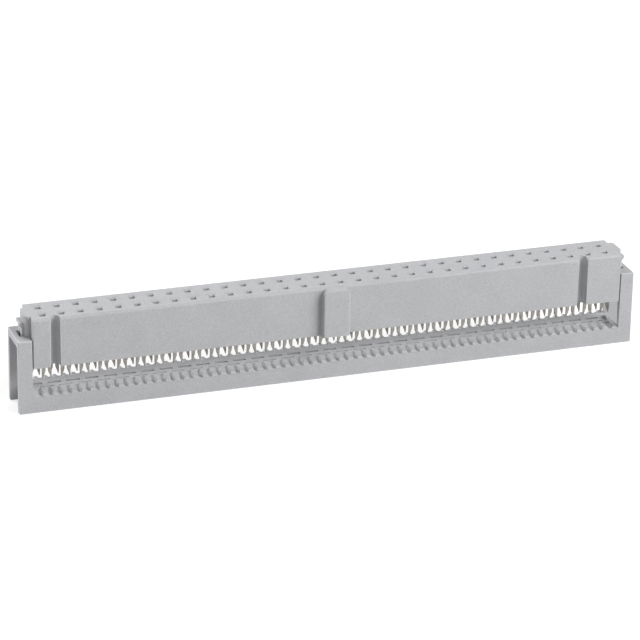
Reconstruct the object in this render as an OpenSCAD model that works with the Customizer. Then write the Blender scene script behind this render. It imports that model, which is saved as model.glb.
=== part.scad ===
/* [Pin grid] */
// Number of pin columns
columns = 32; // [10:1:32]
// Pitch of the columns and distance of the two rows
pitch = 2.54; // [2.5:0.02:2.6]
// Side of the square pin entry
entry_w = 0.8; // [0.75:0.05:0.95]
// Side of the lead-in at the mating face
funnel_w = 1.56; // [1.3:0.02:1.6]
// Radius of the lead-in's rounded walls
funnel_r = 0.5; // [0.4:0.05:0.6]

/* [Housing] */
// Depth of the housing and of the cover
body_d = 6; // [5.8:0.1:6.4]
// Height of the housing
body_h = 6.8; // [6.6:0.1:7.4]
// Housing beyond the outermost column pitch, at each end
body_margin = 0.42; // [0.4:0.02:0.6]
// Rounding of the long upper edges
edge_r = 0.35; // [0.1:0.05:0.5]
// Width of the key on the front
key_w = 3.7; // [3:0.1:4.4]
// How far the key stands out
key_out = 0.95; // [0.6:0.05:1.2]
// Rounding of the key's upper corners
key_r = 0.85; // [0.2:0.05:1]
// Width of the two polarising grooves
polar_w = 1.28; // [1:0.04:1.32]
// Depth of the two polarising grooves
polar_d = 1.1; // [0.8:0.05:1.1]

/* [Latch] */
// Width of the end tongue
tongue_w = 3.2; // [2.8:0.1:3.4]
// How far the tongue's crown stands out of the housing's end
tongue_out = 0.9; // [0.7:0.05:0.95]
// Radius of the tongue's face in plan
tongue_r = 3.22; // [2.6:0.02:4]
// Width of the latch teeth
tooth_w = 2; // [1.4:0.1:2.4]
// Reach of the upper tooth beyond the housing's end
upper_reach = 1.32; // [1.1:0.02:1.34]
// Reach of the lower tooth beyond the housing's end
lower_reach = 1.06; // [1:0.02:1.3]

/* [Cover] */
// Height of the cover's bar
bar_h = 2.5; // [2.2:0.1:3]
// Radius of the round conductor grooves in the bar's front strip
wire_r = 0.6; // [0.45:0.05:0.65]
// Depth of these grooves
wire_d = 0.25; // [0.1:0.05:0.25]
// Width of the strip with the grooves
wire_l = 2.1; // [1.6:0.1:2.1]
// Radius of the conductor notches at the bar's rear edge
notch_r = 0.45; // [0.4:0.05:0.6]
// Depth of these notches
notch_d = 0.3; // [0.2:0.05:0.35]
// Width of the strip with the notches
notch_l = 0.9; // [0.5:0.1:1.4]
// Width of the slope along the bar's upper front edge
slope_w = 0.5; // [0.2:0.05:0.6]
// Height of this slope
slope_h = 0.25; // [0.1:0.05:0.3]
// Length of the pocket at the bar's right end
pocket_l = 1; // [0.9:0.05:1.2]
// Width of this pocket
pocket_w = 3.8; // [3:0.1:4]
// Depth of this pocket
pocket_d = 1.1; // [0.6:0.1:1.4]
// Height of the end legs
leg_h = 10.15; // [9.8:0.05:10.15]
// Length of the end legs
leg_l = 1.86; // [1.8:0.02:2.4]
// How much shallower the legs are than the bar, at the back
leg_back = 0.35; // [0:0.05:0.4]
// Thickness of the leg's front and rear flange
flange_d = 0.75; // [0.6:0.05:0.9]
// Height of the bridge between the flanges
bridge_h = 0.95; // [0.7:0.05:0.95]
// Gap between the bridge's opening and the tongue
tongue_gap = 0.15; // [0.1:0.05:0.3]
// Length of a fork slot in the bar
slot_l = 1.8; // [1.5:0.05:1.85]
// Width of a fork slot in the bar
slot_w = 0.46; // [0.4:0.02:0.5]
// Floor of the fork slots above the underside
slot_floor = 0.7; // [0.4:0.05:0.8]

/* [Contacts] */
// Thickness of the contact strip
strip_t = 0.2; // [0.16:0.02:0.26]
// Width of the fork
fork_w = 1.3; // [1.2:0.05:1.4]
// Width of the slot between the tines
tine_gap = 0.32; // [0.2:0.02:0.36]
// Reach of the tines below the housing
fork_reach = 2.5; // [2.2:0.1:2.5]
// Inside distance of the two beams where they hold the pin
beam_gap = 0.5; // [0.4:0.02:0.6]
// Width of the beams
beam_w = 0.8; // [0.6:0.05:1]

/* [Position] */
// Cable gap between bar and housing with the cover in its open place
cable_gap = 3.7; // [3.7:0.05:3.9]

/* [Hidden] */
$fn = 32;
plastic = "#c3c5c8";
tin = "#9d968a";
eps = 0.05;
row_y = pitch / 2;
grid_l = columns * pitch;
body_x = grid_l / 2 + body_margin;
body_z = bar_h + cable_gap;
top_z = body_z + body_h;
bar_x = body_x + 0.14;
leg_x = bar_x + leg_l;
pocket_x = bar_x - 0.25 - pocket_l / 2;
fork_x = pitch / 4;
fork_y = 0.55;
cavity_w = 1.44;
cavity_in = fork_y - strip_t / 2;
cavity_out = 2.1;
cavity_top = top_z - 1;
latch_gap = 0.04;
base_z0 = 0.7;
base_z1 = 2.2;
pin_z = 4.7;
tip_z = 5.5;
function column_x(i) = (i - (columns + 1) / 2) * pitch;
function two_digits(i) = str(i < 10 ? "0" : "", i);
function contact_name(i) = str("contact_pair_", two_digits(i));

// A drawing in X and Z, given length along Y about the middle plane
module along_y(l) rotate([90, 0, 0]) linear_extrude(l, center = true) children();

// A drawing in Y and Z, given length along X about the middle plane
module along_x(l) rotate([90, 0, 90]) linear_extrude(l, center = true) children();

// The same shape at both ends of the connector
module both_ends() {
  children();
  mirror([1, 0, 0]) children();
}

// The same shape for the front row and, turned half round, for the rear row
module both_rows() {
  children();
  rotate([0, 0, 180]) children();
}

// A rectangle from z0 to z1 whose two upper corners are rounded
module round_top(half, z0, z1, r) {
  translate([-half, z0]) square([2 * half, z1 - r - z0]);
  translate([r - half, z0]) square([2 * (half - r), z1 - z0]);
  for (s = [-1, 1]) translate([s * (half - r), z1 - r]) circle(r);
}

// A rectangle centred on its side, with all four corners rounded
module round_rect(l, w, r) {
  square([l - 2 * r, w], center = true);
  square([l, w - 2 * r], center = true);
  for (x = [-1, 1], y = [-1, 1])
    translate([x * (l / 2 - r), y * (w / 2 - r)]) circle(r);
}

// Housing: outline in plan, with nearly sharp corners in front and rounded ones behind
module body_plan() {
  translate([0, -0.5]) round_rect(2 * body_x, body_d - 1, 0.1);
  translate([0, body_d / 2 - 1]) round_rect(2 * body_x, 2, 0.3);
}

// Housing: block with rounded long edges and softened ends
module body_block() intersection() {
  along_x(2 * body_x) round_top(body_d / 2, body_z, top_z, edge_r);
  along_y(2 * body_d) round_top(body_x, body_z, top_z, 0.2);
  linear_extrude(top_z) body_plan();
}

// Housing: key with rounded upper corners, and a rounded upper front edge
module key() intersection() {
  along_y(4 * body_d) round_top(key_w / 2, body_z, top_z - 0.1, key_r);
  along_x(2 * key_w) key_profile();
  linear_extrude(top_z) key_plan();
}

// Housing: the key from the side, with its front edge at face_y
module key_profile() {
  face_y = -body_d / 2 - key_out;
  face_r = 0.3;
  key_z = top_z - 0.1;
  translate([face_y, body_z]) square([key_out + 1, key_z - face_r - body_z]);
  translate([face_y + face_r, body_z]) square([key_out + 1 - face_r, key_z - body_z]);
  translate([face_y + face_r, key_z - face_r]) circle(face_r);
}

module key_plan() {
  translate([0, -body_d / 2 - key_out + 1]) round_rect(key_w, 2, 0.25);
}

// Housing: end tongue with an arced face and rounded corners in plan, grown by a gap where asked
module tongue_plan(grow = 0) {
  face_x = body_x + tongue_out - tongue_r;
  corner_r = 0.35;
  corner_y = tongue_w / 2 - corner_r;
  corner_x = face_x + sqrt(pow(tongue_r - corner_r, 2) - pow(corner_y, 2));
  touch_y = corner_y * (tongue_r + grow) / (tongue_r - corner_r);
  side_y = tongue_w / 2 + grow;
  intersection() {
    translate([face_x, 0]) circle(tongue_r + grow, $fn = 96);
    translate([body_x - 1, -touch_y]) square([4, 2 * touch_y]);
  }
  translate([body_x - 1, -side_y]) square([corner_x - body_x + 1, 2 * side_y]);
  for (s = [-1, 1]) translate([corner_x, s * corner_y]) circle(corner_r + grow);
}

module tongue() intersection() {
  translate([0, 0, body_z]) linear_extrude(body_h) tongue_plan();
  along_y(2 * tongue_w) round_top(body_x + tongue_out, body_z, top_z, edge_r);
}

// Housing: one latch tooth with a flat top, an upright face and a ramp below
module tooth_profile(reach, top, face, ramp) polygon([
  [body_x - 0.5, top_z - top],
  [body_x + reach, top_z - top],
  [body_x + reach, top_z - face],
  [body_x + tongue_out - 0.1, top_z - ramp],
  [body_x - 0.5, top_z - ramp]
]);

module teeth() along_y(tooth_w) {
  tooth_profile(upper_reach, 1, 1.35, 1.95);
  tooth_profile(lower_reach, 1.75, 2.6, 2.9);
}

// Housing: section of a lead-in, whose walls bend down from the mating face into the entry
module funnel_profile() difference() {
  translate([-funnel_w / 2, 0.1 - funnel_r]) square([funnel_w, funnel_r + 0.1]);
  for (s = [-1, 1]) translate([s * funnel_w / 2, -funnel_r]) circle(funnel_r);
}

// Housing: all lead-ins at once, as two crossing combs
module lead_ins() intersection() {
  along_y(3 * pitch) for (i = [1:columns]) translate([column_x(i), top_z]) funnel_profile();
  along_x(grid_l) for (s = [-1, 1]) translate([s * row_y, top_z]) funnel_profile();
}

module entries() translate([0, 0, cavity_top - eps])
  linear_extrude(top_z - cavity_top)
    for (i = [1:columns], s = [-1, 1])
      translate([column_x(i), s * row_y]) square(entry_w, center = true);

// Housing: contact cavities of the front row, open to the cable side
module cavities() translate([0, 0, body_z - eps]) linear_extrude(cavity_top - body_z + eps)
  for (i = [1:columns])
    translate([column_x(i) - cavity_w / 2, -cavity_out]) square([cavity_w, cavity_out - cavity_in]);

// Housing: slots beside the front cavities that guide the offset forks
module fork_guides() translate([0, 0, body_z - eps]) linear_extrude(2.3 + eps)
  for (i = [1:columns])
    translate([column_x(i) + fork_x, -fork_y]) square([fork_w + 0.06, strip_t + 0.06], center = true);

// Housing: polarising groove with a half-round back, over the full height
module polarising_groove(x) translate([x, -body_d / 2, body_z - 1]) linear_extrude(body_h + 2) {
  translate([0, polar_d - polar_w / 2]) circle(polar_w / 2);
  translate([-polar_w / 2, -1]) square([polar_w, 1 + polar_d - polar_w / 2]);
}

module housing() color(plastic) difference() {
  union() {
    body_block();
    key();
    both_ends() tongue();
    both_ends() teeth();
  }
  lead_ins();
  entries();
  both_rows() cavities();
  both_rows() fork_guides();
  polarising_groove(-grid_l / 2 + pitch);
  polarising_groove(grid_l / 2 - 2 * pitch);
}

// Cover: bar and both legs as seen from the front, with small chamfers at the feet
module cover_outline() polygon([
  [0.1 - leg_x, 0],
  [leg_x - 0.1, 0],
  [leg_x, 0.1],
  [leg_x, leg_h],
  [bar_x, leg_h],
  [bar_x, bar_h],
  [-bar_x, bar_h],
  [-bar_x, leg_h],
  [-leg_x, leg_h],
  [-leg_x, 0.1]
]);

// Cover: the bridge's opening in the right leg, which follows the tongue and gives way to the teeth
module bridge_opening() intersection() {
  union() {
    tongue_plan(tongue_gap);
    translate([body_x, -tooth_w / 2 - latch_gap]) square([upper_reach + latch_gap, tooth_w + 2 * latch_gap]);
  }
  translate([bar_x, -body_d]) square([leg_l, 2 * body_d]);
}

// Cover: space for the tongue in the right leg, open to the outside below the bridge
module leg_window() {
  front_y = flange_d - body_d / 2;
  back_y = body_d / 2 - leg_back - flange_d;
  translate([0, 0, -1]) linear_extrude(leg_h + 2) bridge_opening();
  translate([bar_x, front_y, -1]) cube([leg_l + 1, back_y - front_y, leg_h - bridge_h + 1]);
  translate([bar_x, body_d / 2 - leg_back, -1]) cube([leg_l + 1, 1, leg_h + 2]);
}

// Cover: sloped upper edge along the front of the bar
module bar_slope() along_x(2 * bar_x) polygon([
  [-body_d / 2 - 1, bar_h - slope_h],
  [-body_d / 2, bar_h - slope_h],
  [slope_w - body_d / 2, bar_h],
  [slope_w - body_d / 2, bar_h + 1],
  [-body_d / 2 - 1, bar_h + 1]
]);

// Cover: one round groove for each conductor, from y0 to y1
module wire_grooves(y0, y1, r, d) translate([0, (y0 + y1) / 2, 0]) along_y(y1 - y0)
  for (i = [1:columns], s = [-1, 1])
    translate([column_x(i) + s * fork_x, bar_h + r - d]) circle(r);

// Cover: slots of the front row that take the fork tips
module fork_slots() translate([0, 0, slot_floor]) linear_extrude(bar_h)
  for (i = [1:columns])
    translate([column_x(i) + fork_x, -fork_y]) square([slot_l, slot_w], center = true);

// Cover: rounded pocket at the right end of the bar, with a thin wall towards the leg
module end_pocket() translate([pocket_x, -0.75, bar_h - pocket_d]) linear_extrude(bar_h)
  round_rect(pocket_l, pocket_w, 0.45);

module cover() color(plastic) difference() {
  along_y(body_d) cover_outline();
  both_ends() leg_window();
  bar_slope();
  wire_grooves(-body_d / 2 - 1, wire_l - body_d / 2, wire_r, wire_d);
  wire_grooves(body_d / 2 - notch_l, body_d / 2 + 1, notch_r, notch_d);
  both_rows() fork_slots();
  end_pocket();
}

// Contact: slotted fork with a V mouth, drawn from the housing's underside
module fork_outline() difference() {
  polygon([
    [-fork_w / 2, base_z1],
    [-fork_w / 2, 0.4 - fork_reach],
    [0.06 - fork_w / 2, -fork_reach],
    [0.15 - fork_w / 2, -fork_reach],
    [0.2 - fork_w / 2, 0.25 - fork_reach],
    [-tine_gap / 2, 1 - fork_reach],
    [-tine_gap / 2, -0.4],
    [tine_gap / 2, -0.4],
    [tine_gap / 2, 1 - fork_reach],
    [fork_w / 2 - 0.2, 0.25 - fork_reach],
    [fork_w / 2 - 0.15, -fork_reach],
    [fork_w / 2 - 0.06, -fork_reach],
    [fork_w / 2, 0.4 - fork_reach],
    [fork_w / 2, base_z1]
  ]);
  translate([0, -0.4]) circle(0.19);
}

// A rectangle from x0 to x1 and y0 to y1 whose two left corners are rounded
module fold(x0, x1, y0, y1, r) {
  translate([x0 + r, y0]) square([x1 - x0 - r, y1 - y0]);
  translate([x0, y0 + r]) square([x1 - x0, y1 - y0 - 2 * r]);
  for (y = [y0 + r, y1 - r]) translate([x0 + r, y]) circle(r);
}

// Contact: the base folded to a U, seen from above
module base_plan() difference() {
  fold(-cavity_w / 2, 0.62, -cavity_out, -cavity_in, 0.4);
  fold(strip_t - cavity_w / 2, 1, strip_t - cavity_out, -cavity_in - strip_t, 0.2);
}

// Contact: one spring beam, with its middle at y0 below, y1 at the pin and y2 at the tip
module beam(y0, y1, y2) along_x(beam_w) polygon([
  [y0 - strip_t / 2, base_z1 - 0.2],
  [y0 + strip_t / 2, base_z1 - 0.2],
  [y0 + strip_t / 2, base_z1],
  [y1 + strip_t / 2, pin_z],
  [y2 + strip_t / 2, tip_z],
  [y2 - strip_t / 2, tip_z],
  [y1 - strip_t / 2, pin_z],
  [y0 - strip_t / 2, base_z1]
]);

// Contact of the front row, with the column's middle at X = 0 and the housing's underside at Z = 0
module contact() {
  hold = (beam_gap + strip_t) / 2;
  flare = 0.22;
  translate([fork_x, -fork_y, 0]) along_y(strip_t) fork_outline();
  translate([0, 0, base_z0]) linear_extrude(base_z1 - base_z0) base_plan();
  beam(-fork_y, hold - row_y, hold + flare - row_y);
  beam(strip_t / 2 - cavity_out, -hold - row_y, -hold - flare - row_y);
}

// The two contacts of column i
module contact_pair(i) color(tin)
  translate([column_x(i), 0, body_z]) both_rows() contact();

housing();
cover();
for (i = [1:columns])
  contact_pair(i);
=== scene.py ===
import math

import bmesh
import bpy
import numpy as np
from mathutils import Matrix


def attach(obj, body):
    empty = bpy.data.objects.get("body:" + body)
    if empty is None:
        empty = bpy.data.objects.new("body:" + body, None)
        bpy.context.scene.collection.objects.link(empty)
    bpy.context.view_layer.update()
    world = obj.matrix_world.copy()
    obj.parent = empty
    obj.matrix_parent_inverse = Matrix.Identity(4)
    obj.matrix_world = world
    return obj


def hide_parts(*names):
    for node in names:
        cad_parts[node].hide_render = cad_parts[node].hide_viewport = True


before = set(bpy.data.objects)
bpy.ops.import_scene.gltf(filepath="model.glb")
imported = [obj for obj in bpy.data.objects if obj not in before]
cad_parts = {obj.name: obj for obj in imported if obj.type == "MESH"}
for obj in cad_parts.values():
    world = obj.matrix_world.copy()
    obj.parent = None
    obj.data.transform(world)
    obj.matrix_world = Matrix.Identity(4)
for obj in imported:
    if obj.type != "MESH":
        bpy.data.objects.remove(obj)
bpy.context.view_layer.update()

MM = 0.001

# The contacts, in millimetres, with heights from the housing's underside.
COLUMNS = 32
PITCH = 2.54
HOUSING_Z = 6.2  # the housing's underside, from the ground
STRIP = 0.2  # the strip's thickness
CHAMFER = 0.025
FORK_X = 0.635  # from the column's middle to the fork's
FORK_Y = 0.55  # from the part's middle to the fork's plane
BASE_Z = (0.7, 2.2)  # the folded base's lower and upper end
PIN_Y = -PITCH / 2  # the front row of pins
WALL_Y = -2.1  # the outer spring beam's outer side, at its foot
BEAM_Z = (2.15, 2.6, 4.7, 5.5)  # foot, knee, where the pin is held, and tip
BEAM_HALF = 0.4  # half a beam's width
HOLD = 0.35  # from the pin's middle to a beam's, where the pin is held
FLARE = 0.57  # the same at the tip
BEND_TURN = 32  # in degrees, what a bend of the strip stays under from face to face

# The cover as its solid is, in metres.
BAR_TOP = 2.5 * MM
LEG_X = 41.1 * MM  # just short of the end legs
WINDOW_TOP = 9.25 * MM  # just above the legs' windows
WINDOW_Y = 2.3 * MM  # beyond the windows' sides
POCKET_FLOOR = 1.4 * MM
SLOT_HALF = 0.23 * MM  # half the width of the slots for the forks
FLANGE_Y = 1.9 * MM  # the rear flanges' inner faces
WIRE_PITCH = PITCH / 2 * MM
GROOVE_HALF = 0.5 * MM  # half a groove's width, rounded up
GROOVE_DEPTH = 0.25 * MM
GROOVE_END_Y = -0.9 * MM
SLOPE_Y = -2.7 * MM  # on the slope along the bar's front edge
LAST_GROOVE_X = 40.6 * MM  # just past the last groove
TOUCH = 0.01 * MM  # how close a point is to a face that it lies on

# The cover as the photograph shows it, in metres and in shares.
SHALLOW_FLOOR = 2.1 * MM
SLOT_TRIM = 0.08 * MM  # off the slot on either side of the fork
FLANGE_MORE = 0.2 * MM
NARROWER = 0.2  # the share of its width that a groove loses
GROOVE_CUTS_Y = (-1.5 * MM, -2.1 * MM)
SCOOP_Y = np.array([-2.5, -2.1, -1.5, -0.9]) * MM
SCOOP = (1.35, 1.9, 1.3, 0.5)  # how many times as deep a groove is at each of these

# The moulded pieces' edges: lengths in metres, and turns from face to face in degrees.
MERGE = 0.0005 * MM  # points closer than this are one point
CUT_TOUCH = 0.001 * MM
FLAT_TURN = 0.5
MILD_TURN = 8
SHARP_TURN = 30
OUTER_TURN = 50
LONG_EDGE = 2.6 * MM  # an edge is rounded when it is longer than this
SHORT_EDGE = 0.7 * MM  # the same at the ends
GROUND_Z = 0.15 * MM  # an edge with both ends below this is on the ground
UPRIGHT = 0.9  # the share of its length that an upright edge rises
RADIUS = 0.09 * MM

ROUGHNESS_SWING = 0.08  # what the noise of the relief adds to the roughness, or takes off


def add(tree, kind, x, y, **settings):
    """A shader node at (x, y) in the editor, with its properties set."""
    node = tree.nodes.new(kind)
    node.location = (x, y)
    for name, value in settings.items():
        setattr(node, name, value)
    return node


def join(tree, *pairs):
    """Links each output to its input."""
    for output, entry in pairs:
        tree.links.new(output, entry)


def swing(tree, x, y, vector, scale, detail):
    """Noise at a place in the object, spread to about -1 to 1; scale is in waves to a metre."""
    noise = add(tree, "ShaderNodeTexNoise", x, y)
    noise.inputs["Scale"].default_value = scale
    noise.inputs["Detail"].default_value = detail
    spread = add(tree, "ShaderNodeMapRange", x + 200, y)
    spread.inputs["From Min"].default_value = 0.3
    spread.inputs["From Max"].default_value = 0.7
    spread.inputs["To Min"].default_value = -1.0
    join(tree, (vector, noise.inputs["Vector"]), (noise.outputs["Fac"], spread.inputs["Value"]))
    return spread.outputs["Result"]


def finish_group(name, colours, numbers):
    """A node group with the named inputs, which puts out Color, Roughness and Height."""
    tree = bpy.data.node_groups.new(name, "ShaderNodeTree")
    face = tree.interface
    for title in colours:
        face.new_socket(title, in_out="INPUT", socket_type="NodeSocketColor")
    for title in numbers:
        face.new_socket(title, in_out="INPUT", socket_type="NodeSocketFloat")
    face.new_socket("Color", in_out="OUTPUT", socket_type="NodeSocketColor")
    face.new_socket("Roughness", in_out="OUTPUT", socket_type="NodeSocketFloat")
    face.new_socket("Height", in_out="OUTPUT", socket_type="NodeSocketFloat")
    entry = add(tree, "NodeGroupInput", -900, 0)
    leave = add(tree, "NodeGroupOutput", 600, 0)
    place = add(tree, "ShaderNodeTexCoord", -1100, -300).outputs["Object"]
    return tree, entry, leave, place


def grain_group():
    """Moulded plastic: tint in clouds and in a fine speckle, and a spark-eroded mould's grain.

    The colour is base * (1 + clouds * c + speckle * s) and the roughness is roughness + 0.08 * g,
    where c, s and g are coarse, fine and finest noise. g is the relief's height as well.
    """
    tree, entry, leave, place = finish_group(
        "moulded_grain", ("Base",), ("Clouds", "Speckle", "Roughness")
    )
    clouds = swing(tree, -700, -100, place, scale=240.0, detail=4.0)
    speckle = swing(tree, -700, -350, place, scale=7500.0, detail=4.0)
    grain = swing(tree, -700, -600, place, scale=11000.0, detail=3.0)
    part = add(tree, "ShaderNodeMath", -280, -100, operation="MULTIPLY_ADD")
    part.inputs[2].default_value = 1.0
    whole = add(tree, "ShaderNodeMath", -80, -200, operation="MULTIPLY_ADD")
    tint = add(tree, "ShaderNodeVectorMath", 120, 100, operation="SCALE")
    rough = add(tree, "ShaderNodeMath", 120, -350, operation="MULTIPLY_ADD")
    rough.inputs[1].default_value = ROUGHNESS_SWING
    join(
        tree,
        (clouds, part.inputs[0]),
        (entry.outputs["Clouds"], part.inputs[1]),
        (speckle, whole.inputs[0]),
        (entry.outputs["Speckle"], whole.inputs[1]),
        (part.outputs[0], whole.inputs[2]),
        (entry.outputs["Base"], tint.inputs[0]),
        (whole.outputs[0], tint.inputs["Scale"]),
        (tint.outputs[0], leave.inputs["Color"]),
        (grain, rough.inputs[0]),
        (entry.outputs["Roughness"], rough.inputs[2]),
        (rough.outputs[0], leave.inputs["Roughness"]),
        (grain, leave.inputs["Height"]),
    )
    return tree


def strip_group():
    """Plated strip: rolling marks along it, stains in the plating, bare metal at sheared edges.

    The stains' noise mixes the stain's colour into the plating's. The bare metal's is mixed in by
    sheared + 0.25 * stains, kept within 0 and 1. The rolling marks are noise stretched along Z.
    """
    stretch_z = 0.08
    stain_from, stain_most = -0.6, 0.8
    wear = 0.25
    tree, entry, leave, place = finish_group(
        "plated_strip", ("Plating", "Stain", "Bare metal"), ("Sheared", "Roughness")
    )
    along = add(tree, "ShaderNodeVectorMath", -900, -450, operation="MULTIPLY")
    along.inputs[1].default_value = (1.0, 1.0, stretch_z)
    rolling = swing(tree, -700, -450, along.outputs[0], scale=9000.0, detail=2.0)
    stains = swing(tree, -700, -200, place, scale=1400.0, detail=4.0)
    share = add(tree, "ShaderNodeMapRange", -280, -200)
    share.inputs["From Min"].default_value = stain_from
    share.inputs["To Max"].default_value = stain_most
    stained = add(tree, "ShaderNodeMix", -60, 100, data_type="RGBA")
    bared = add(tree, "ShaderNodeMix", 200, 100, data_type="RGBA")
    worn = add(tree, "ShaderNodeMath", 0, -120, operation="MULTIPLY_ADD", use_clamp=True)
    worn.inputs[1].default_value = wear
    rough = add(tree, "ShaderNodeMath", 200, -350, operation="MULTIPLY_ADD")
    rough.inputs[1].default_value = ROUGHNESS_SWING
    join(
        tree,
        (place, along.inputs[0]),
        (stains, share.inputs["Value"]),
        (share.outputs["Result"], stained.inputs["Factor"]),
        (entry.outputs["Plating"], stained.inputs["A"]),
        (entry.outputs["Stain"], stained.inputs["B"]),
        (stains, worn.inputs[0]),
        (entry.outputs["Sheared"], worn.inputs[2]),
        (worn.outputs[0], bared.inputs["Factor"]),
        (stained.outputs["Result"], bared.inputs["A"]),
        (entry.outputs["Bare metal"], bared.inputs["B"]),
        (bared.outputs["Result"], leave.inputs["Color"]),
        (rolling, rough.inputs[0]),
        (entry.outputs["Roughness"], rough.inputs[2]),
        (rough.outputs[0], leave.inputs["Roughness"]),
        (rolling, leave.inputs["Height"]),
    )
    return tree


GRAIN = grain_group()
PLATED = strip_group()


def finish_with(name, group, depth):
    """A material with its colour, roughness and relief from a group; depth is in metres."""
    mat = bpy.data.materials.new(name)
    mat.use_nodes = True
    tree = mat.node_tree
    tree.nodes.clear()
    out = add(tree, "ShaderNodeOutputMaterial", 700, 0)
    shader = add(tree, "ShaderNodeBsdfPrincipled", 400, 0)
    look = add(tree, "ShaderNodeGroup", 0, 0, node_tree=group)
    relief = add(tree, "ShaderNodeBump", 200, -200)
    relief.inputs["Strength"].default_value = 0.5
    relief.inputs["Distance"].default_value = depth
    join(
        tree,
        (shader.outputs[0], out.inputs[0]),
        (look.outputs["Color"], shader.inputs["Base Color"]),
        (look.outputs["Roughness"], shader.inputs["Roughness"]),
        (look.outputs["Height"], relief.inputs["Height"]),
        (relief.outputs[0], shader.inputs["Normal"]),
    )
    return mat, shader, look


def plastic(name, base, rough, clouds, speckle, depth):
    """Matte moulded plastic in one base colour."""
    mat, shader, look = finish_with(name, GRAIN, depth)
    look.inputs["Base"].default_value = (*base, 1.0)
    look.inputs["Roughness"].default_value = rough
    look.inputs["Clouds"].default_value = clouds
    look.inputs["Speckle"].default_value = speckle
    shader.inputs["Specular IOR Level"].default_value = 0.4
    return mat


def plated(name):
    """Dull plating on stamped strip, bare at the sheared edges."""
    mat, shader, look = finish_with(name, PLATED, depth=0.003 * MM)
    look.inputs["Plating"].default_value = (0.44, 0.43, 0.41, 1.0)
    look.inputs["Stain"].default_value = (0.28, 0.26, 0.23, 1.0)
    look.inputs["Bare metal"].default_value = (0.33, 0.26, 0.20, 1.0)
    look.inputs["Roughness"].default_value = 0.42
    shader.inputs["Metallic"].default_value = 0.75
    cut = add(mat.node_tree, "ShaderNodeAttribute", -250, -150, attribute_name="sheared")
    join(mat.node_tree, (cut.outputs["Fac"], look.inputs["Sheared"]))
    return mat


# Light grey faces, and rounded edges that are smoother, with a paler colour that is a painted
# highlight.
FACES = dict(base=(0.50, 0.505, 0.52), clouds=0.03, speckle=0.12, depth=0.006 * MM)
HIGHLIGHT_EDGES = dict(base=(0.62, 0.625, 0.635), clouds=0.02, speckle=0.06, depth=0.002 * MM)
housing_grey = plastic("housing_grey", rough=0.58, **FACES)
cover_grey = plastic("cover_grey", rough=0.60, **FACES)
housing_painted_highlight = plastic("housing_painted_highlight", rough=0.42, **HIGHLIGHT_EDGES)
cover_painted_highlight = plastic("cover_painted_highlight", rough=0.42, **HIGHLIGHT_EDGES)
dull_tin = plated("dull_tin")


def placed(name, mesh, body, slot, *nodes):
    """Puts a mesh in the scene as a piece that stands for CAD nodes and moves with their body."""
    piece = bpy.data.objects.new(name, mesh)
    bpy.context.collection.objects.link(piece)
    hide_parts(*nodes)
    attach(piece, body)
    return piece


def mark(mesh, name, kind, domain, values):
    """Keeps a value for each edge or face of a mesh under a name."""
    mesh.attributes.new(name, kind, domain).data.foreach_set("value", values)


def read(items, what, width, kind):
    """A property of all of a mesh's items, as one array with a row of that width to each item."""
    values = np.empty(len(items) * width, kind)
    items.foreach_get(what, values)
    return values.reshape(-1, width) if width > 1 else values


def cut_grooves(work):
    """Divides the cover's conductor grooves across at two places, so that they can bend there."""

    def in_groove(face):
        middle = face.calc_center_median()
        below_top = BAR_TOP - GROOVE_DEPTH < middle.z < BAR_TOP - CUT_TOUCH
        return below_top and SLOPE_Y < middle.y < GROOVE_END_Y - TOUCH

    for y in GROOVE_CUTS_Y:
        floors = [f for f in work.faces if in_groove(f)]
        edges = list(dict.fromkeys(e for f in floors for e in f.edges))
        bmesh.ops.bisect_plane(
            work, geom=floors + edges, dist=CUT_TOUCH, plane_co=(0, y, 0), plane_no=(0, 1, 0)
        )


def cover_as_seen(co):
    """The cover's points, moved from where its solid has them to where the photograph does.

    The inner face of the right leg's rear flange moves 0.2 mm into the window. The end pocket's
    floor moves up to the shallow floor. The long walls of the front row's slots move 0.08 mm
    towards the forks' plane. In the strip with the conductor grooves, the distance from the middle
    of a groove shrinks to four fifths, and z becomes top + k * (z - top). k is 1.35 on the slope
    along the front edge, 1.9 behind it, and 0.5 at the grooves' rear end, and it runs in straight
    lines between its values at SCOOP_Y.
    """
    x, y, z = co.T
    flange = (x > LEG_X) & (np.abs(y - FLANGE_Y) < TOUCH) & (z < WINDOW_TOP)
    y = np.where(flange, y - FLANGE_MORE, y)
    z = np.where(np.abs(z - POCKET_FLOOR) < TOUCH, SHALLOW_FLOOR, z)
    in_bar = (np.abs(x) < LEG_X) & (z < BAR_TOP + TOUCH)
    off = y + FORK_Y * MM
    slot_wall = in_bar & (np.abs(np.abs(off) - SLOT_HALF) < TOUCH)
    y = np.where(slot_wall, y - np.sign(off) * SLOT_TRIM, y)
    strip = in_bar & (y < GROOVE_END_Y + TOUCH) & (z > BAR_TOP - GROOVE_DEPTH - TOUCH)
    aside = x - (np.floor(x / WIRE_PITCH) + 0.5) * WIRE_PITCH
    groove = strip & (np.abs(aside) < GROOVE_HALF) & (np.abs(x) < LAST_GROOVE_X)
    x = np.where(groove, x - NARROWER * aside, x)
    k = np.interp(y, SCOOP_Y, SCOOP)
    return np.stack([x, y, np.where(strip, BAR_TOP + k * (z - BAR_TOP), z)], axis=1)


def merged(name, node, divide):
    """A copy of a CAD node's mesh: its points merged, its flat faces joined, and then divided."""
    work = bmesh.new()
    work.from_mesh(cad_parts[node].data)
    bmesh.ops.remove_doubles(work, verts=work.verts, dist=MERGE)
    bmesh.ops.dissolve_limit(
        work, angle_limit=math.radians(FLAT_TURN), verts=work.verts, edges=work.edges
    )
    if divide:
        divide(work)
    mesh = bpy.data.meshes.new(name)
    work.to_mesh(mesh)
    work.free()
    return mesh


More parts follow.
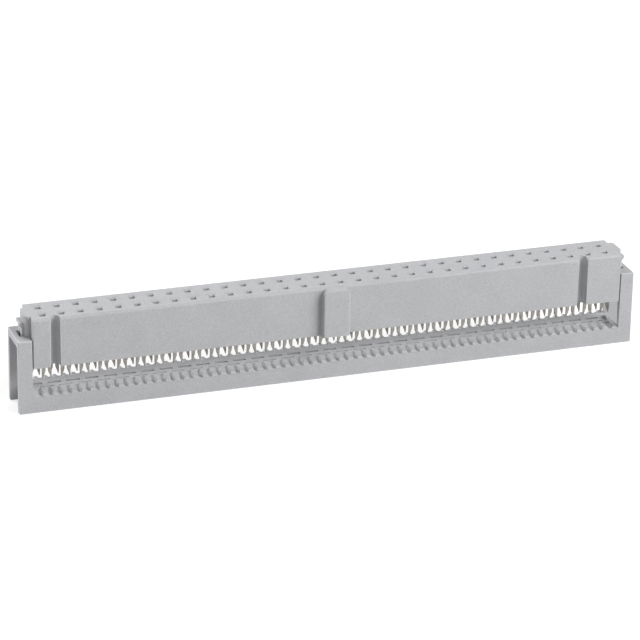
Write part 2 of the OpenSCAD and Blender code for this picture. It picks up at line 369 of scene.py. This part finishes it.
def edge_sides(mesh):
    """For each edge, the points where it starts and ends as its first face runs, and both faces."""
    corner = read(mesh.loops, "vertex_index", 1, np.int32)
    edge = read(mesh.loops, "edge_index", 1, np.int32)
    start = read(mesh.polygons, "loop_start", 1, np.int32)
    total = read(mesh.polygons, "loop_total", 1, np.int32)
    face = np.repeat(np.arange(len(total)), total)
    loops = np.arange(len(corner))
    following = loops + 1
    following[start + total - 1] = start
    first = np.zeros(len(mesh.edges), int)
    last = np.zeros(len(mesh.edges), int)
    first[edge[::-1]] = loops[::-1]
    last[edge] = loops
    return corner[first], corner[following[first]], face[first], face[last]


def moulded(name, node, body, slot, finish, highlight_finish, divide=None, reshape=None):
    """A moulded piece: the CAD mesh merged, with its long outer edges slightly rounded.

    Along an edge, with face normals n1 and n2 and the direction d in which the first face runs,
    the surface turns by the angle atan2((n1 x n2) . d, n1 . n2). Above 50 degrees the edge stands
    out, and it is rounded where it is longer than 2.6 mm, or at the ends longer than 0.7 mm, and
    lies neither on the ground nor inside a leg's window. Above 30 degrees it stays sharp otherwise.
    A face between two long upright edges of 8 to 50 degrees is part of a rounded corner, and gets
    the edges' paler finish, a painted highlight, as the new rounding does.

    divide cuts the merged mesh, and reshape moves its points. The normals are those that it had
    before they moved.
    """
    mesh = merged(name, node, divide)
    normal = read(mesh.polygons, "normal", 3, np.float32).astype(float)
    co = read(mesh.vertices, "co", 3, np.float32).astype(float)
    if reshape:
        co = reshape(co)
        mesh.vertices.foreach_set("co", co.ravel())
    start, end, face, face_beyond = edge_sides(mesh)
    tail, head = co[start], co[end]
    n1, n2 = normal[face], normal[face_beyond]
    length = np.linalg.norm(head - tail, axis=1)
    rise = np.einsum("ij,ij->i", np.cross(n1, n2), head - tail) / length
    turn = np.degrees(np.arctan2(rise, np.einsum("ij,ij->i", n1, n2)))
    middle = (tail + head) / 2
    at_end = np.abs(middle[:, 0]) > LEG_X
    off_ground = np.maximum(tail[:, 2], head[:, 2]) > GROUND_Z
    in_window = at_end & (np.abs(middle[:, 1]) < WINDOW_Y) & (middle[:, 2] < WINDOW_TOP)
    long_enough = length > np.where(at_end, SHORT_EDGE, LONG_EDGE)
    soft = (turn > OUTER_TURN) & long_enough & off_ground & ~in_window
    sharp = (np.abs(turn) > SHARP_TURN) & ~soft
    upright = np.abs(head[:, 2] - tail[:, 2]) > UPRIGHT * length
    mild = (turn > MILD_TURN) & (turn < OUTER_TURN) & (length > LONG_EDGE) & upright
    mild_sides = np.bincount(np.r_[face, face_beyond], np.r_[mild, mild], len(mesh.polygons))
    mesh.shade_smooth()
    mark(mesh, "bevel_weight_edge", "FLOAT", "EDGE", soft.astype(np.float32))
    mark(mesh, "sharp_edge", "BOOLEAN", "EDGE", sharp)
    # faces of rounded corners take the paler finish: a painted highlight
    mesh.polygons.foreach_set("material_index", (mild_sides >= 2).astype(np.int32))
    mesh.materials.append(finish)
    mesh.materials.append(highlight_finish)
    piece = placed(name, mesh, body, slot, node)
    rim = piece.modifiers.new("moulded_radius", "BEVEL")
    rim.limit_method = "WEIGHT"
    rim.width = RADIUS
    rim.segments = 2
    # the new rounding takes the paler finish: a painted highlight
    rim.material = 1
    rim.use_clamp_overlap = False
    piece.modifiers.new("even_normals", "WEIGHTED_NORMAL").keep_sharp = True


moulded("housing_body", "housing", "socket", "housing_plastic", housing_grey, housing_painted_highlight)
moulded(
    "cable_cover", "cover", "cover", "cover_plastic", cover_grey, cover_painted_highlight,
    divide=cut_grooves, reshape=cover_as_seen,
)


def rounded(corners, steps=4):
    """A closed outline with rounded corners, each given as two coordinates and a reach.

    Corner C, with A and B at the reach from it on its two sides, becomes
    (1 - t)^2 A + 2 t (1 - t) C + t^2 B for t from 0 to 1.
    """
    corners = np.array(corners, float)
    points, reach = corners[:, :2], corners[:, 2:]
    back = np.roll(points, 1, axis=0) - points
    on = np.roll(points, -1, axis=0) - points
    a = (points + reach * back / np.linalg.norm(back, axis=1, keepdims=True))[:, None]
    b = (points + reach * on / np.linalg.norm(on, axis=1, keepdims=True))[:, None]
    t = np.linspace(0.0, 1.0, steps)[None, :, None]
    curve = (1 - t) ** 2 * a + 2 * t * (1 - t) * points[:, None] + t**2 * b
    return curve.reshape(-1, 2)


def stamped(outline, low, high, axes, rim_is_cut):
    """A closed outline carried from low to high, with both rims chamfered.

    Point (s, t) is outline(s) - inset(t) * normal(s) at height(t), with t over four rings. The
    rows of axes are the directions of the outline's two coordinates and of the height. Gives
    points, faces, and which faces were cut: those along the outline, or the two that close it.
    """
    count = len(outline)
    run = np.roll(outline, -1, axis=0) - np.roll(outline, 1, axis=0)
    run /= np.linalg.norm(run, axis=1, keepdims=True)
    normal = np.stack([run[:, 1], -run[:, 0]], axis=1)
    inset = np.array([CHAMFER, 0.0, 0.0, CHAMFER])[:, None, None]
    height = np.array([low, low + CHAMFER, high - CHAMFER, high])[:, None, None]
    flat = outline[None] - inset * normal[None]
    rings = np.concatenate([flat, np.broadcast_to(height, (4, count, 1))], axis=2)
    points = rings.reshape(-1, 3) @ np.array(axes, float)
    here = np.arange(count)
    there = np.roll(here, -1)
    band = np.stack([here, there, there + count, here + count], axis=1)
    bands = np.concatenate([band, band + count, band + 2 * count])
    faces = bands.tolist() + [here[::-1].tolist(), (here + 3 * count).tolist()]
    cut = np.r_[np.full(len(bands), rim_is_cut), [not rim_is_cut] * 2]
    return points, faces, cut


def spring_beam(root, pin, tip):
    """A spring beam from the side, with its middle at root up to the knee, then at pin and tip."""
    half = STRIP / 2
    foot_z, knee_z, pin_z, tip_z = BEAM_Z
    return rounded([
        (root - half, foot_z, 0.02), (root + half, foot_z, 0.02),
        (root + half, knee_z, 0.2), (pin + half, pin_z, 0.35),
        (tip + half, tip_z, 0.06), (tip - half, tip_z, 0.06),
        (pin - half, pin_z, 0.35), (root - half, knee_z, 0.2),
    ])


def contact():
    """One contact of the front row: slotted fork, folded base, two spring beams, in millimetres."""
    fork = rounded([
        (-0.65, -2.1, 0.15), (-0.59, -2.5, 0.04), (-0.5, -2.5, 0.04), (-0.45, -2.25, 0.1),
        (-0.16, -1.5, 0.25), (-0.16, -0.53, 0.03), (-0.19, -0.45, 0.03), (-0.19, -0.21, 0.17),
        (0.19, -0.21, 0.17), (0.19, -0.45, 0.03), (0.16, -0.53, 0.03), (0.16, -1.5, 0.25),
        (0.45, -2.25, 0.1), (0.5, -2.5, 0.04), (0.59, -2.5, 0.04), (0.65, -2.1, 0.15),
        (0.65, 2.2, 0.06), (0.0, 2.2, 0.01), (0.0, 0.7, 0.01), (-0.65, 0.7, 0.05),
    ])
    base = rounded([
        (-0.72, -2.1, 0.4), (0.62, -2.1, 0.03), (0.62, -1.9, 0.03), (-0.52, -1.9, 0.2),
        (-0.52, -0.65, 0.2), (0.62, -0.65, 0.03), (0.62, -0.45, 0.03), (-0.72, -0.45, 0.4),
    ])
    half = STRIP / 2
    inner_beam = spring_beam(-FORK_Y, PIN_Y + HOLD, PIN_Y + FLARE)
    outer_beam = spring_beam(WALL_Y + half, PIN_Y - HOLD, PIN_Y - FLARE)
    upright = [(1, 0, 0), (0, 0, 1), (0, -1, 0)]
    lying = [(1, 0, 0), (0, 1, 0), (0, 0, 1)]
    sideways = [(0, 1, 0), (0, 0, 1), (1, 0, 0)]
    shells = [
        (stamped(fork, FORK_Y - half, FORK_Y + half, upright, rim_is_cut=True), FORK_X),
        (stamped(base, *BASE_Z, lying, rim_is_cut=False), 0.0),
        (stamped(inner_beam, -BEAM_HALF, BEAM_HALF, sideways, rim_is_cut=False), 0.0),
        (stamped(outer_beam, -BEAM_HALF, BEAM_HALF, sideways, rim_is_cut=False), 0.0),
    ]
    points, faces, cut = [], [], []
    for (shell_points, shell_faces, shell_cut), x in shells:
        past = sum(len(p) for p in points)
        points.append(shell_points + (x, 0.0, 0.0))
        faces += [[k + past for k in f] for f in shell_faces]
        cut.append(shell_cut)
    return np.concatenate(points), faces, np.concatenate(cut)


def contact_columns():
    """Two contacts to a column: the front row's, and the same turned half round for the rear."""
    points, faces, cut = contact()
    both = np.concatenate([points, points * (-1, -1, 1)])
    both_faces = faces + [[k + len(points) for k in f] for f in faces]
    both_cut = np.tile(cut, 2).astype(np.float32)
    for i in range(1, COLUMNS + 1):
        mesh = bpy.data.meshes.new(f"contact_strip_{i:02d}")
        x = (i - (COLUMNS + 1) / 2) * PITCH
        mesh.from_pydata((both + (x, 0.0, HOUSING_Z)) * MM, [], both_faces)
        mark(mesh, "sheared", "FLOAT", "FACE", both_cut)
        mesh.shade_smooth()
        mesh.set_sharp_from_angle(angle=math.radians(BEND_TURN))
        mesh.materials.append(dull_tin)
        placed(mesh.name, mesh, "socket", "contact_metal", f"contact_pair_{i:02d}")


contact_columns()


def floor():
    """A floor, 4 m wide, that takes light and shadow as grey does, and glows to camera and metal.

    Where no shadow falls, its grey and its glow add up to plain white.
    """
    half = 2.0
    grey = 0.5
    glow_strength = 0.62
    mesh = bpy.data.meshes.new("floor")
    points = [(-half, -half, 0), (half, -half, 0), (half, half, 0), (-half, half, 0)]
    mesh.from_pydata(points, [], [(0, 1, 2, 3)])
    obj = bpy.data.objects.new("floor", mesh)
    bpy.context.collection.objects.link(obj)
    mat = bpy.data.materials.new("white_floor")
    mat.use_nodes = True
    tree = mat.node_tree
    shader = tree.nodes["Principled BSDF"]
    shader.inputs["Base Color"].default_value = (grey, grey, grey, 1.0)
    shader.inputs["Roughness"].default_value = 0.9
    shader.inputs["Emission Color"].default_value = (1.0, 1.0, 1.0, 1.0)
    seen = add(tree, "ShaderNodeLightPath", -600, -200)
    either = add(tree, "ShaderNodeMath", -400, -200, operation="MAXIMUM")
    glow = add(tree, "ShaderNodeMath", -200, -200, operation="MULTIPLY")
    glow.inputs[1].default_value = glow_strength
    join(
        tree,
        (seen.outputs["Is Camera Ray"], either.inputs[0]),
        (seen.outputs["Is Glossy Ray"], either.inputs[1]),
        (either.outputs[0], glow.inputs[0]),
        (glow.outputs[0], shader.inputs["Emission Strength"]),
    )
    mesh.materials.append(mat)


floor()


def studio():
    """A plain white world, at a fifth of full strength."""
    world = bpy.data.worlds.new("studio")
    world.use_nodes = True
    background = world.node_tree.nodes["Background"]
    background.inputs["Color"].default_value = (1.0, 1.0, 1.0, 1.0)
    background.inputs["Strength"].default_value = 0.2
    bpy.context.scene.world = world


studio()


def set_up(name, data, right, up, back, place):
    """Puts a light or camera in the scene at place, with its right, up and back directions."""
    obj = bpy.data.objects.new(name, data)
    bpy.context.collection.objects.link(obj)
    rows = [[right[k], up[k], back[k], place[k]] for k in range(3)]
    obj.matrix_world = Matrix(rows + [[0, 0, 0, 1]])
    return obj


def softbox(name, place, size, power):
    """A square soft light at place, in metres, pointed at the origin; power is in watts."""
    data = bpy.data.lights.new(name, "AREA")
    data.shape = "SQUARE"
    data.size = size
    data.energy = power
    back = np.array(place) / np.linalg.norm(place)
    side = np.cross((0.0, 0.0, 1.0), back)
    side /= np.linalg.norm(side)
    set_up(name, data, side, np.cross(back, side), back, place)


softbox("main_light", (0.405, -0.365, 0.354), size=0.42, power=4.28)
softbox("left_light", (-0.461, -0.266, 0.373), size=0.3, power=0.50)
softbox("back_left_light", (-0.432, 0.432, 0.222), size=0.3, power=2.80)
softbox("back_light", (0.0, 0.611, 0.222), size=0.3, power=0.58)
softbox("high_back_light", (0.0, 0.418, 0.498), size=0.3, power=0.44)


def camera():
    """The photograph's view, fitted to the pin entries and to corners of the mouldings.

    The line of sight goes ahead at an azimuth and down at an elevation, and the picture is rolled
    about it. The camera stands back by the distance, and a little to the left and above, in
    millimetres.
    """
    azimuth, elevation, roll = map(math.radians, (19.17, 22.78, 1.09))
    distance, left, above = 454.5, 0.85, 6.49
    focal_pixels, photo_pixels = 3385.0, 640.0
    ahead = np.array([
        math.sin(azimuth) * math.cos(elevation),
        math.cos(azimuth) * math.cos(elevation),
        -math.sin(elevation),
    ])
    right = np.array([math.cos(azimuth), -math.sin(azimuth), 0.0])
    up = np.cross(right, ahead)
    right, up = (
        math.cos(roll) * right + math.sin(roll) * up,
        -math.sin(roll) * right + math.cos(roll) * up,
    )
    place = (-distance * ahead - left * right + above * up) * MM
    data = bpy.data.cameras.new("photo_view")
    data.sensor_fit = "HORIZONTAL"
    data.sensor_width = 36.0
    data.lens = focal_pixels / photo_pixels * data.sensor_width
    data.clip_start = 0.01
    data.clip_end = 10.0
    bpy.context.scene.camera = set_up("photo_view", data, right, up, -ahead, place)


camera()
bpy.context.scene.view_settings.view_transform = "Standard"
